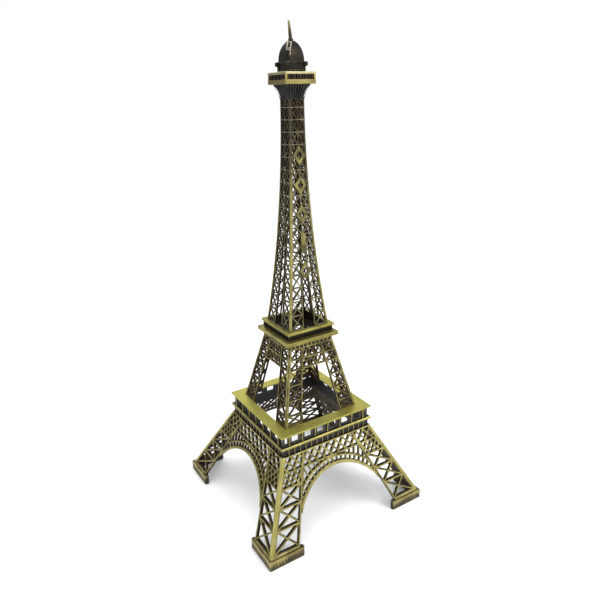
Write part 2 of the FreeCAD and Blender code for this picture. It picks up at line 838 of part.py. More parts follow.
def capital():
    # A concave flare with fanned upright ribs: whole slabs between square bars on the four corners
    steps = 8
    grow = capital_half - shaft_top_half
    def flare(inset):
        return [(shaft_top_half - inset + grow * (i / steps) ** capital_sweep,
                 shaft_top + capital_height * i / steps) for i in range(steps + 1)]
    core = vault(flare(capital_groove))
    full = profile_prism(flare(0))
    ribs = []
    for i in range(capital_ribs + 1):
        share = 2 * i / capital_ribs - 1
        low = share * (shaft_top_half - capital_rib_width / 2)
        high = share * (capital_half - capital_rib_width / 2)
        corners = [V(low - capital_rib_width / 2, 0, shaft_top),
                   V(low + capital_rib_width / 2, 0, shaft_top),
                   V(high + capital_rib_width / 2, 0, gallery_bottom),
                   V(high - capital_rib_width / 2, 0, gallery_bottom)]
        rib = Part.Face(Part.makePolygon(corners + corners[:1])).extrude(V(0, 4 * capital_half, 0))
        rib.translate(V(0, -2 * capital_half, 0))
        ribs.append(full.common(rib))
    bounds = vault(flare(0))
    ends = (ribs[0], ribs[-1])
    corner_bars = [first.common(turned(second, 1)) for first in ends for second in ends]
    slabs = [turned(rib, i) for rib in ribs[1:-1] for i in range(2)]
    return fused([core] + [rib.common(bounds) for rib in corner_bars + slabs])


def gallery_parapet():
    floor = box(-gallery_half, gallery_half, -gallery_half, gallery_half,
                gallery_bottom, gallery_wall_bottom)
    inner = gallery_wall_half - gallery_wall_thickness
    wall = square_ring(rectangle(inner, gallery_wall_half, gallery_wall_bottom, gallery_roof_bottom))
    windows = []
    for i in range(gallery_windows):
        middle = (i - (gallery_windows - 1) / 2) * gallery_window_pitch
        for quarters in range(4):
            window = box(middle - gallery_window_width / 2, middle + gallery_window_width / 2,
                         -gallery_half, -inner + 1,
                         gallery_wall_bottom + gallery_sill, gallery_roof_bottom - gallery_sill)
            windows.append(turned(window, quarters))
    return floor.fuse(wall.cut(windows))


def gallery_roof_plate():
    plain = box(-gallery_half, gallery_half, -gallery_half, gallery_half,
                gallery_roof_bottom, drum_bottom)
    edges = [e for e in plain.Edges if e.CenterOfMass.z > drum_bottom - tolerance]
    return plain.makeChamfer(gallery_roof_chamfer, edges)


def drum_block():
    return box(-drum_half, drum_half, -drum_half, drum_half, drum_bottom, dome_bottom)


def lantern_drum():
    recess = box(-drum_panel_half, drum_panel_half, -drum_half - 1, -drum_half + drum_panel_recess,
                 drum_bottom + drum_frame, dome_bottom - drum_frame)
    return drum_block().cut([turned(recess, i) for i in range(4)])


def corner_finials():
    inner = finial_half - finial_side
    block = box(inner, finial_half, -finial_half, -inner, dome_bottom - finial_height, dome_bottom)
    block = block.makeChamfer(finial_chamfer, block.Edges)
    finial = block.cut(drum_block())
    return Part.makeCompound([turned(finial, i) for i in range(4)])


def dome():
    steps = 12
    def curve(proud):
        points = []
        for i in range(steps + 1):
            height = dome_height * math.sin(math.pi / 2 * i / steps)
            half = dome_half * math.sqrt(1 - (height / dome_full_rise) ** 2)
            points.append((half + proud, dome_bottom + height))
        return points
    body = vault(curve(0))
    shell = vault(curve(dome_rib_depth))
    ribs = []
    for heading in (45, 135):
        slab = box(-2 * dome_half, 2 * dome_half, -dome_rib_width / 2, dome_rib_width / 2,
                   dome_bottom, dome_top)
        slab.rotate(origin, axis_z, heading)
        ribs.append(shell.common(slab))
    return fused([body] + ribs)


def mast():
    lean = math.radians(mast_lean_deg)
    heading = math.radians(mast_heading_deg)
    foot = V(0, 0, dome_top + collar_height / 2)
    rise = total_height - mast_tip_radius - foot.z
    length = rise / math.cos(lean)
    direction = V(math.sin(lean) * math.cos(heading), math.sin(lean) * math.sin(heading),
                  math.cos(lean))
    collar = Part.makeCylinder(collar_radius, collar_height, V(0, 0, dome_top))
    rod = Part.makeCone(mast_foot_radius, mast_tip_radius, length, foot, direction)
    tip = Part.makeSphere(mast_tip_radius, foot + direction * length)
    return fused([collar, rod, tip])


def write(name, shape):
    solids = len(shape.Solids)
    print(name, "solids", solids, "volume", round(shape.Volume, 1), "valid", shape.isValid())
    shape = shape.Solids[0] if solids == 1 else Part.makeCompound(shape.Solids)
    shape.exportStep(os.path.join("parts", name + ".step"))


def write_turned(name, shape, ends):
    for quarters, end in enumerate(ends):
        write(name + "_" + end, turned(shape, quarters))


def main():
    os.makedirs("parts", exist_ok=True)
    write_turned("foot_plinth", foot_plinth(), corner_names)
    post = corner_post([plinth_height, lower_top], lower_half, lower_post)
    write_turned("leg_corner_post", post, corner_names)
    wing = leg_lattice()
    write_turned("leg_lattice", wing, [side + "_b" for side in side_names])
    write_turned("leg_lattice", wing.mirror(origin, V(1, 0, 0)), [side + "_a" for side in side_names])
    write_turned("arch", arch(), side_names)
    write_turned("girder", girder(), side_names)

    write("platform_1_frieze", frieze())
    write_turned("platform_1_parapet", parapet_wall(), side_names)
    write_turned("platform_1_deck", deck_strip(), side_names)

    write_turned("mid_leg", mid_leg(), corner_names)
    write_turned("mid_girder", mid_girder(), side_names)

    write("platform_2_ledge", platform_2_ledge())
    write("platform_2_wall", platform_2_wall())
    write("platform_2_rim", platform_2_rim())

    heights = [rim_top] + shaft_levels()
    write_turned("shaft_corner_post", corner_post(heights, shaft_half, shaft_post), corner_names)
    write_turned("shaft_lattice", shaft_lattice(), side_names)
    write("shaft_ornaments", shaft_ornaments())

    write("capital", capital())
    write("gallery_parapet", gallery_parapet())
    write("gallery_roof", gallery_roof_plate())
    write("lantern_drum", lantern_drum())
    write("corner_finials", corner_finials())
    write("dome", dome())
    write("mast", mast())


main()
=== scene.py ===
import bpy
import json
import math
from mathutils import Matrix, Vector

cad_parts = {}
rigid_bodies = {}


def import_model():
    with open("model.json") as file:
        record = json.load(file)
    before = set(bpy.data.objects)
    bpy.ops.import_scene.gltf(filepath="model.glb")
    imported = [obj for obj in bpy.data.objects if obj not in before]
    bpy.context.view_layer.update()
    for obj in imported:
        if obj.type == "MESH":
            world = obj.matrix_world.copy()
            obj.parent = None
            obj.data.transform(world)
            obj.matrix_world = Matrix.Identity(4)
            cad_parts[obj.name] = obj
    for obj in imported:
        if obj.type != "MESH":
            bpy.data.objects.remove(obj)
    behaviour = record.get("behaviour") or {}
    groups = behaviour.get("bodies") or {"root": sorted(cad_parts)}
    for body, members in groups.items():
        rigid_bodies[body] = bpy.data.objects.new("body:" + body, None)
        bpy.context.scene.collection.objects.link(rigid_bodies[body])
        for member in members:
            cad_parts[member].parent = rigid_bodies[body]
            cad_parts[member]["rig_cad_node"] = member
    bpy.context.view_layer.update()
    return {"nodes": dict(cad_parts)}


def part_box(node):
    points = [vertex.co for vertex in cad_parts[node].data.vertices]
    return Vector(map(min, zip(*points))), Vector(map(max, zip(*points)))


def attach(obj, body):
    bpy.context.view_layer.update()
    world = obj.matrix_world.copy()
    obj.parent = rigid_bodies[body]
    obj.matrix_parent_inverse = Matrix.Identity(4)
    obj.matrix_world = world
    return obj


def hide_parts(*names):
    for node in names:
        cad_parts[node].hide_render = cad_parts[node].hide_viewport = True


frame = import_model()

mm = 0.001


# camera, floor and lights

studio = {
    "azimuth": -31.71,          # degrees round from the front, towards the left-hand side
    "elevation": 19.66,
    "roll": -1.38,
    "distance": 0.3773,
    "aim": (-0.0004, 0.0003, 0.1512),
    "lens": 33.9,
    "sensor": 36.0,
    "clip": (0.01, 50.0),
    "lightAim": (0, 0, 0.13),
    "floorSize": 1.5,
    "floorCuts": 6,
    "floorRoughness": 0.9,
    "floorSpecular": 0.1,
    "floorColor": (0.98, 0.98, 0.975, 1),
    "paper": (1.0, 1.0, 1.0, 1),
    "paperStrength": 1.0,
    "roomColor": (0.78, 0.80, 0.84, 1),
    "roomStrength": 0.80,
}

softboxes = {
    "keyLight": {"place": (0.55, -0.95, 0.85), "size": 0.9, "power": 12.0,
                 "color": (1.0, 0.985, 0.95)},
    "fillLight": {"place": (-0.95, -0.35, 0.60), "size": 0.8, "power": 3.0,
                  "color": (0.94, 0.96, 1.0)},
    "backLight": {"place": (0.30, 0.90, 0.85), "size": 0.9, "power": 3.6,
                  "color": (0.97, 0.98, 1.0)},
    "topLight": {"place": (0.0, 0.0, 1.4), "size": 1.2, "power": 9.0,
                 "color": (1.0, 1.0, 1.0)},
}


def deselectAll():
    if bpy.context.object and bpy.context.object.mode != "OBJECT":
        bpy.ops.object.mode_set(mode="OBJECT")
    bpy.ops.object.select_all(action="DESELECT")


def setCamera():
    turn, rise = math.radians(studio["azimuth"]), math.radians(studio["elevation"])
    back = Vector((math.sin(turn) * math.cos(rise), -math.cos(turn) * math.cos(rise), math.sin(rise)))
    place = Vector(studio["aim"]) + back * studio["distance"]
    facing = (-back).to_track_quat("-Z", "Y").to_euler()
    bpy.ops.object.camera_add(location=place, rotation=facing)
    camera = bpy.context.object
    camera.name = "studioCamera"
    camera.data.lens = studio["lens"]
    camera.data.sensor_width = studio["sensor"]
    camera.data.clip_start, camera.data.clip_end = studio["clip"]
    camera.rotation_euler.rotate_axis("Z", math.radians(studio["roll"]))
    bpy.context.scene.camera = camera


def setStage():
    deselectAll()
    bpy.ops.mesh.primitive_plane_add(size=studio["floorSize"], location=(0, 0, 0))
    floor = bpy.context.object
    floor.name = "studioFloor"
    bpy.ops.object.mode_set(mode="EDIT")
    bpy.ops.mesh.subdivide(number_cuts=studio["floorCuts"])
    bpy.ops.object.mode_set(mode="OBJECT")
    finish = bpy.data.materials.new("floorPaper")
    finish.use_nodes = True
    shader = finish.node_tree.nodes["Principled BSDF"]
    shader.inputs["Base Color"].default_value = studio["floorColor"]
    shader.inputs["Roughness"].default_value = studio["floorRoughness"]
    shader.inputs["Specular IOR Level"].default_value = studio["floorSpecular"]
    floor.data.materials.append(finish)

    for name, box in softboxes.items():
        way = Vector(studio["lightAim"]) - Vector(box["place"])
        bpy.ops.object.light_add(type="AREA", location=box["place"],
                                 rotation=way.to_track_quat("-Z", "Y").to_euler())
        light = bpy.context.object
        light.name = name
        light.data.shape = "DISK"
        light.data.size = box["size"]
        light.data.energy = box["power"]
        light.data.color = box["color"]

    world = bpy.data.worlds.new("studioRoom")
    world.use_nodes = True
    nodes, links = world.node_tree.nodes, world.node_tree.links
    nodes.clear()
    output = nodes.new("ShaderNodeOutputWorld")
    seen = nodes.new("ShaderNodeBackground")
    seen.inputs["Color"].default_value = studio["paper"]
    seen.inputs["Strength"].default_value = studio["paperStrength"]
    room = nodes.new("ShaderNodeBackground")
    room.inputs["Color"].default_value = studio["roomColor"]
    room.inputs["Strength"].default_value = studio["roomStrength"]
    ray = nodes.new("ShaderNodeLightPath")
    choose = nodes.new("ShaderNodeMixShader")
    links.new(ray.outputs["Is Camera Ray"], choose.inputs["Fac"])
    links.new(room.outputs["Background"], choose.inputs[1])
    links.new(seen.outputs["Background"], choose.inputs[2])
    links.new(choose.outputs["Shader"], output.inputs["Surface"])
    bpy.context.scene.world = world
    bpy.context.scene.view_settings.view_transform = "Standard"


setCamera()
setStage()
print("stage: camera, floor and lights are set")


# node groups that the finishes share

def newGroup(name, inputs, outputs):
    group = bpy.data.node_groups.new(name, "ShaderNodeTree")
    for label, kind, start in inputs:
        socket = group.interface.new_socket(name=label, in_out="INPUT", socket_type=kind)
        socket.default_value = start
    for label, kind in outputs:
        group.interface.new_socket(name=label, in_out="OUTPUT", socket_type=kind)
    return group, group.nodes.new("NodeGroupInput"), group.nodes.new("NodeGroupOutput")


def mathNode(group, work, *values, clamp=False):
    node = group.nodes.new("ShaderNodeMath")
    node.operation = work
    node.use_clamp = clamp
    for place, value in enumerate(values):
        if isinstance(value, (int, float)):
            node.inputs[place].default_value = value
        else:
            group.links.new(value, node.inputs[place])
    return node.outputs[0]


def rangeNode(group, value, low, high, toLow=0.0, toHigh=1.0):
    node = group.nodes.new("ShaderNodeMapRange")
    node.interpolation_type = "SMOOTHSTEP"
    node.inputs["From Min"].default_value = low
    node.inputs["From Max"].default_value = high
    node.inputs["To Min"].default_value = toLow
    node.inputs["To Max"].default_value = toHigh
    group.links.new(value, node.inputs["Value"])
    return node.outputs["Result"]


def mixColor(group, factor, first, second):
    node = group.nodes.new("ShaderNodeMix")
    node.data_type = "RGBA"
    for socket, value in ((node.inputs["Factor"], factor), (node.inputs[6], first), (node.inputs[7], second)):
        if isinstance(value, (int, float, tuple)):
            socket.default_value = value
        else:
            group.links.new(value, socket)
    return node.outputs[2]


skinPattern = {
    "cloud": {"Scale": 130.0, "Detail": 4.0, "Roughness": 0.6},
    "grain": {"Scale": 1500.0, "Detail": 3.0, "Roughness": 0.65},
    "pits": {"Scale": 620.0},
    "pitRange": (0.05, 0.26),
    "grainHeight": 0.7,
    "pitHeight": 0.3,
}


def textureNode(group, kind, place, settings):
    node = group.nodes.new(kind)
    for label, value in settings.items():
        node.inputs[label].default_value = value
    group.links.new(place, node.inputs["Vector"])
    return node


def makeCastSkin():
    # the skin of a gravity casting: broad tarnish clouds, fine sand grain, small pits
    group, ins, outs = newGroup("castSkin", [("Size", "NodeSocketFloat", 1.0)],
                                [("Cloud", "NodeSocketFloat"), ("Grain", "NodeSocketFloat"),
                                 ("Pits", "NodeSocketFloat"), ("Height", "NodeSocketFloat")])
    place = group.nodes.new("ShaderNodeTexCoord")
    scaled = group.nodes.new("ShaderNodeVectorMath")
    scaled.operation = "SCALE"
    group.links.new(place.outputs["Object"], scaled.inputs[0])
    group.links.new(ins.outputs["Size"], scaled.inputs["Scale"])
    spot = scaled.outputs["Vector"]
    cloud = textureNode(group, "ShaderNodeTexNoise", spot, skinPattern["cloud"])
    grain = textureNode(group, "ShaderNodeTexNoise", spot, skinPattern["grain"])
    pits = textureNode(group, "ShaderNodeTexVoronoi", spot, skinPattern["pits"])
    spots = rangeNode(group, pits.outputs["Distance"], *skinPattern["pitRange"])
    rough = mathNode(group, "MULTIPLY", grain.outputs["Fac"], skinPattern["grainHeight"])
    height = mathNode(group, "MULTIPLY_ADD", spots, skinPattern["pitHeight"], rough)
    group.links.new(cloud.outputs["Fac"], outs.inputs["Cloud"])
    group.links.new(grain.outputs["Fac"], outs.inputs["Grain"])
    group.links.new(spots, outs.inputs["Pits"])
    group.links.new(height, outs.inputs["Height"])
    return group


sideRanges = {"sunk": (0.35, 0.9), "outer": (0.35, 0.85), "inner": (0.2, 0.8), "up": (0.3, 0.9)}


def makeTowerSides():
    # how far a face looks out from the tower's axis, in towards it, or up
    group, ins, outs = newGroup("towerSides",
                                [("Foot", "NodeSocketFloat", 0.05), ("Lean", "NodeSocketFloat", 0.0),
                                 ("Recess", "NodeSocketFloat", 0.0003)],
                                [("Outer", "NodeSocketFloat"), ("Inner", "NodeSocketFloat"),
                                 ("Up", "NodeSocketFloat"), ("Sunk", "NodeSocketFloat"),
                                 ("Height", "NodeSocketFloat")])
    place = group.nodes.new("ShaderNodeTexCoord")
    where = group.nodes.new("ShaderNodeSeparateXYZ")
    group.links.new(place.outputs["Object"], where.inputs[0])
    geometry = group.nodes.new("ShaderNodeNewGeometry")
    facing = group.nodes.new("ShaderNodeSeparateXYZ")
    group.links.new(geometry.outputs["Normal"], facing.inputs[0])
    signX = mathNode(group, "SIGN", where.outputs["X"])
    signY = mathNode(group, "SIGN", where.outputs["Y"])
    outX = mathNode(group, "MULTIPLY", facing.outputs["X"], signX)
    outY = mathNode(group, "MULTIPLY", facing.outputs["Y"], signY)
    farX = mathNode(group, "ABSOLUTE", where.outputs["X"])
    farY = mathNode(group, "ABSOLUTE", where.outputs["Y"])
    alongY = mathNode(group, "GREATER_THAN", farY, farX)
    alongX = mathNode(group, "SUBTRACT", 1.0, alongY)
    own = mathNode(group, "ADD", mathNode(group, "MULTIPLY", outY, alongY),
                   mathNode(group, "MULTIPLY", outX, alongX))
    reach = mathNode(group, "MAXIMUM", farX, farY)
    level = mathNode(group, "MULTIPLY_ADD", where.outputs["Z"], ins.outputs["Lean"], reach)
    below = mathNode(group, "SUBTRACT", ins.outputs["Foot"], level)
    below = mathNode(group, "DIVIDE", below, ins.outputs["Recess"])
    inward = mathNode(group, "MULTIPLY", own, -1.0)
    group.links.new(rangeNode(group, below, *sideRanges["sunk"]), outs.inputs["Sunk"])
    group.links.new(rangeNode(group, own, *sideRanges["outer"]), outs.inputs["Outer"])
    group.links.new(rangeNode(group, inward, *sideRanges["inner"]), outs.inputs["Inner"])
    # the Up output paints upward faces lighter in the finishes: painted light from above
    group.links.new(rangeNode(group, facing.outputs["Z"], *sideRanges["up"]), outs.inputs["Up"])
    group.links.new(where.outputs["Z"], outs.inputs["Height"])
    return group


rubbedAndLitRange = (0.05, 0.95)


def makeRubbedAndLitMask():
    # where polishing took the dark patina off again, plus the painted light on upward faces and the painted
    # highlight on edges, broken up by the skin
    group, ins, outs = newGroup("rubbedAndLitMask",
                                [("Exposure", "NodeSocketFloat", 0.5), ("Cloud", "NodeSocketFloat", 0.5),
                                 ("Grain", "NodeSocketFloat", 0.5), ("Patchy", "NodeSocketFloat", 0.8),
                                 ("Speckled", "NodeSocketFloat", 0.5)],
                                [("RubbedAndLit", "NodeSocketFloat")])
    clouds = mathNode(group, "SUBTRACT", ins.outputs["Cloud"], 0.5)
    clouds = mathNode(group, "MULTIPLY", clouds, ins.outputs["Patchy"])
    specks = mathNode(group, "SUBTRACT", ins.outputs["Grain"], 0.5)
    specks = mathNode(group, "MULTIPLY", specks, ins.outputs["Speckled"])
    total = mathNode(group, "ADD", ins.outputs["Exposure"], clouds)
    total = mathNode(group, "ADD", total, specks)
    group.links.new(rangeNode(group, total, *rubbedAndLitRange), outs.inputs["RubbedAndLit"])
    return group


castSkin = makeCastSkin()
towerSides = makeTowerSides()
rubbedAndLitMask = makeRubbedAndLitMask()


# finishes: every one is dark patina over plated brass, rubbed back in its own way; upward faces are painted
# lighter as painted light from above, and the edge copy of each puts a painted highlight on the bevels along
# with the edge wear

lowerFace = {"foot": 0.06496, "lean": 0.501, "recess": 0.0004}
middleFace = {"foot": 0.04569, "lean": 0.2319, "recess": 0.0003}

finishes = {
    "satinRim": {                                       # the broad bright rims
        "dark": (0.085, 0.066, 0.022, 1), "brass": (0.345, 0.317, 0.070, 1), "pale": (0.445, 0.418, 0.115, 1),
        "base": 0.80, "outer": 0.10, "up": 0.15, "inner": -0.15, "patchy": 0.6, "speckled": 0.5,
        "roughDark": 0.62, "roughBrass": 0.54, "metalDark": 0.8, "bump": 0.22, "skin": 0.8, "edge": 0.35},
    "ledgeBrass": {                                     # mottled, with dark left in its grooves
        "dark": (0.07, 0.052, 0.020, 1), "brass": (0.310, 0.267, 0.065, 1), "pale": (0.447, 0.396, 0.129, 1),
        "base": 0.34, "outer": 0.30, "up": 0.30, "inner": -0.25, "patchy": 1.2, "speckled": 0.9,
        "roughDark": 0.58, "roughBrass": 0.40, "metalDark": 0.7, "bump": 0.35, "skin": 1.0, "edge": 0.45},
    "friezeBronze": {                                   # ribs catch the light in front of a dark ground
        "dark": (0.020, 0.018, 0.017, 1), "brass": (0.284, 0.249, 0.090, 1), "pale": (0.430, 0.387, 0.146, 1),
        "base": 0.10, "outer": 0.55, "up": 0.35, "inner": -0.25, "patchy": 1.0, "speckled": 0.8,
        "roughDark": 0.55, "roughBrass": 0.40, "metalDark": 0.6, "bump": 0.35, "skin": 1.0, "edge": 0.30,
        "plane": {"foot": 0.0358, "lean": 0.0, "recess": 0.0006}, "sunk": -0.75},
    "bandBronze": {
        "dark": (0.034, 0.026, 0.018, 1), "brass": (0.284, 0.249, 0.065, 1), "pale": (0.413, 0.378, 0.120, 1),
        "base": 0.18, "outer": 0.42, "up": 0.35, "inner": -0.25, "patchy": 1.0, "speckled": 0.8,
        "roughDark": 0.55, "roughBrass": 0.40, "metalDark": 0.6, "bump": 0.35, "skin": 1.0, "edge": 0.30,
        "plane": {"foot": 0.0175, "lean": 0.0, "recess": 0.0005}, "sunk": -0.75},
    "cornerBar": {
        "dark": (0.06, 0.045, 0.022, 1), "brass": (0.344, 0.305, 0.086, 1), "pale": (0.516, 0.473, 0.172, 1),
        "base": 0.05, "outer": 0.76, "up": 0.15, "inner": -0.3, "patchy": 0.9, "speckled": 0.5,
        "roughDark": 0.5, "roughBrass": 0.36, "metalDark": 0.7, "bump": 0.2, "skin": 1.0, "edge": 0.30},
    "shaftBar": {                                       # the same bar, left darker towards the top
        "dark": (0.040, 0.032, 0.020, 1), "brass": (0.310, 0.271, 0.086, 1), "pale": (0.447, 0.404, 0.155, 1),
        "base": 0.02, "outer": 0.66, "up": 0.1, "inner": -0.3, "patchy": 1.1, "speckled": 0.7,
        "roughDark": 0.5, "roughBrass": 0.38, "metalDark": 0.7, "bump": 0.25, "skin": 1.1, "edge": 0.24,
        "band": (0.205, 0.262, -0.75)},
    "lowerBronze": {                                    # outer faces rubbed, sides and back left dark
        "dark": (0.036, 0.025, 0.013, 1), "brass": (0.290, 0.257, 0.092, 1), "pale": (0.440, 0.405, 0.165, 1),
        "base": -0.14, "outer": 0.90, "up": 0.10, "inner": -0.2, "patchy": 1.0, "speckled": 0.8,
        "roughDark": 0.5, "roughBrass": 0.42, "metalDark": 0.90, "bump": 0.35, "skin": 1.2, "edge": -0.10,
        "plane": lowerFace, "sunk": -0.20},
    "middleBronze": {
        "dark": (0.036, 0.024, 0.013, 1), "brass": (0.262, 0.230, 0.082, 1), "pale": (0.410, 0.375, 0.150, 1),
        "base": -0.20, "outer": 0.88, "up": 0.10, "inner": -0.2, "patchy": 1.1, "speckled": 0.8,
        "roughDark": 0.5, "roughBrass": 0.42, "metalDark": 0.90, "bump": 0.35, "skin": 1.2, "edge": -0.08,
        "plane": middleFace, "sunk": -0.32},
    "shaftBronze": {
        "dark": (0.032, 0.022, 0.014, 1), "brass": (0.232, 0.211, 0.103, 1), "pale": (0.396, 0.370, 0.198, 1),
        "base": -0.08, "outer": 0.66, "up": 0.08, "inner": -0.2, "patchy": 1.1, "speckled": 0.7,
        "roughDark": 0.5, "roughBrass": 0.42, "metalDark": 0.88, "bump": 0.35, "skin": 1.3, "edge": -0.05,
        "band": (0.200, 0.270, -0.38)},
    "stripBronze": {                                    # strips that hold the polish up to the top
        "dark": (0.030, 0.024, 0.017, 1), "brass": (0.249, 0.228, 0.129, 1), "pale": (0.378, 0.353, 0.215, 1),
        "base": -0.05, "outer": 0.62, "up": 0.35, "inner": -0.3, "patchy": 1.0, "speckled": 0.8,
        "roughDark": 0.5, "roughBrass": 0.42, "metalDark": 0.6, "bump": 0.3, "skin": 1.3, "edge": 0.12},
    "secondBrass": {                                    # the second platform's rim, duller than the first's
        "dark": (0.060, 0.047, 0.018, 1), "brass": (0.275, 0.245, 0.058, 1), "pale": (0.396, 0.361, 0.112, 1),
        "base": 0.52, "outer": 0.16, "up": 0.06, "inner": -0.25, "patchy": 1.0, "speckled": 0.7,
        # the large edge share paints a strong highlight along the rim's edges, on top of edge wear
        "roughDark": 0.60, "roughBrass": 0.50, "metalDark": 0.75, "bump": 0.28, "skin": 0.9, "edge": 0.55},
    "plinthBronze": {
        "dark": (0.036, 0.028, 0.021, 1), "brass": (0.224, 0.181, 0.073, 1), "pale": (0.430, 0.378, 0.138, 1),
        "base": -0.30, "outer": 0.36, "up": 0.30, "inner": -0.2, "patchy": 1.6, "speckled": 1.0,
        "roughDark": 0.55, "roughBrass": 0.42, "metalDark": 0.7, "bump": 0.5, "skin": 1.0, "edge": 0.48,
        "plane": {"foot": 0.0629, "lean": 0.0, "recess": 0.0004}, "sunk": -0.45,
        "band": (0.0004, 0.0064, 0.80)},
    "blackWall": {                                      # the parapet and the gallery's core, nearly black
        # the blue-grey tint of the dark colour is a painted sheen on the near-black walls
        "dark": (0.018, 0.019, 0.024, 1), "brass": (0.095, 0.088, 0.060, 1), "pale": (0.172, 0.163, 0.120, 1),
        "base": 0.0, "outer": 0.32, "up": 0.1, "inner": -0.25, "patchy": 0.9, "speckled": 0.7,
        "roughDark": 0.40, "roughBrass": 0.42, "metalDark": 0.5, "bump": 0.3, "skin": 1.0, "edge": 0.15},
    "capitalBlack": {                                   # flutes nearly black, their edges just showing
        "dark": (0.008, 0.009, 0.010, 1), "brass": (0.052, 0.052, 0.043, 1), "pale": (0.103, 0.103, 0.082, 1),
        "base": 0.0, "outer": 0.10, "up": 0.1, "inner": 0.0, "patchy": 0.9, "speckled": 0.7,
        "roughDark": 0.45, "roughBrass": 0.42, "metalDark": 0.95, "bump": 0.3, "skin": 1.0, "edge": 0.38},
    "galleryWall": {                                    # brown-red shadow between the two bright bands
        "dark": (0.035, 0.014, 0.008, 1), "brass": (0.284, 0.237, 0.082, 1), "pale": (0.396, 0.344, 0.133, 1),
        "base": 0.30, "outer": 0.34, "up": 0.30, "inner": -0.4, "patchy": 0.9, "speckled": 0.8,
        "roughDark": 0.55, "roughBrass": 0.40, "metalDark": 0.6, "bump": 0.3, "skin": 1.0, "edge": 0.30,
        "plane": {"foot": 0.0104, "lean": 0.0, "recess": 0.0006}, "sunk": -1.1},
    "galleryTop": {                                     # the gallery's roof plate, paler than the bands
        "dark": (0.07, 0.060, 0.030, 1), "brass": (0.318, 0.292, 0.142, 1), "pale": (0.464, 0.430, 0.249, 1),
        "base": 0.70, "outer": 0.12, "up": 0.10, "inner": -0.15, "patchy": 0.8, "speckled": 0.6,
        "roughDark": 0.55, "roughBrass": 0.42, "metalDark": 0.8, "bump": 0.25, "skin": 0.9, "edge": 0.40},
    "ornamentBrass": {                                  # raised ornaments, tarnished in their middles
        "dark": (0.045, 0.036, 0.018, 1), "brass": (0.258, 0.228, 0.082, 1), "pale": (0.396, 0.361, 0.138, 1),
        "base": 0.20, "outer": 0.30, "up": 0.20, "inner": -0.2, "patchy": 1.4, "speckled": 1.0,
        "roughDark": 0.55, "roughBrass": 0.42, "metalDark": 0.7, "bump": 0.4, "skin": 1.2, "edge": 0.40},
    "domeBronze": {                                     # dome, drum, finials and the second wall
        "dark": (0.014, 0.012, 0.009, 1), "brass": (0.043, 0.037, 0.023, 1), "pale": (0.103, 0.095, 0.060, 1),
        "base": 0.06, "outer": 0.06, "up": 0.12, "inner": -0.1, "patchy": 1.2, "speckled": 0.8,
        # the large edge share paints a highlight on the finials' edges, on top of edge wear
        "roughDark": 0.45, "roughBrass": 0.38, "metalDark": 0.92, "bump": 0.35, "skin": 1.1, "edge": 0.50},
    "ladderBrass": {
        "dark": (0.12, 0.09, 0.06, 1), "brass": (0.430, 0.370, 0.267, 1), "pale": (0.585, 0.525, 0.396, 1),
        "base": 0.90, "outer": 0.1, "up": 0.1, "inner": -0.1, "patchy": 0.7, "speckled": 0.5,
        "roughDark": 0.5, "roughBrass": 0.38, "metalDark": 0.7, "bump": 0.25, "skin": 1.2, "edge": 0.2},
    "mastBronze": {                                     # dark foot, rubbed to brass at the tip
        "dark": (0.030, 0.022, 0.018, 1), "brass": (0.292, 0.249, 0.103, 1), "pale": (0.430, 0.387, 0.189, 1),
        "base": 0.05, "outer": 0.1, "up": 0.1, "inner": 0.0, "patchy": 0.8, "speckled": 0.6,
        "roughDark": 0.45, "roughBrass": 0.38, "metalDark": 0.75, "bump": 0.25, "skin": 1.2, "edge": 0.2,
        "band": (0.3125, 0.3195, 0.60)},
}


def groupNode(tree, group, **values):
    node = tree.nodes.new("ShaderNodeGroup")
    node.node_tree = group
    for label, value in values.items():
        node.inputs[label].default_value = value
    return node


flatPlane = {"foot": 0.0, "lean": 0.0, "recess": 0.001}
# the edge share here makes the bevels' brass paler: edge wear plus a painted highlight
wear = {"paleRange": (0.35, 0.75), "paleSpread": 0.55, "pitDark": 0.45, "grainRough": 0.22,
        "metalRange": (0.0, 0.8), "edgePalerWearAndHighlight": 0.4, "bumpDepth": 0.12}


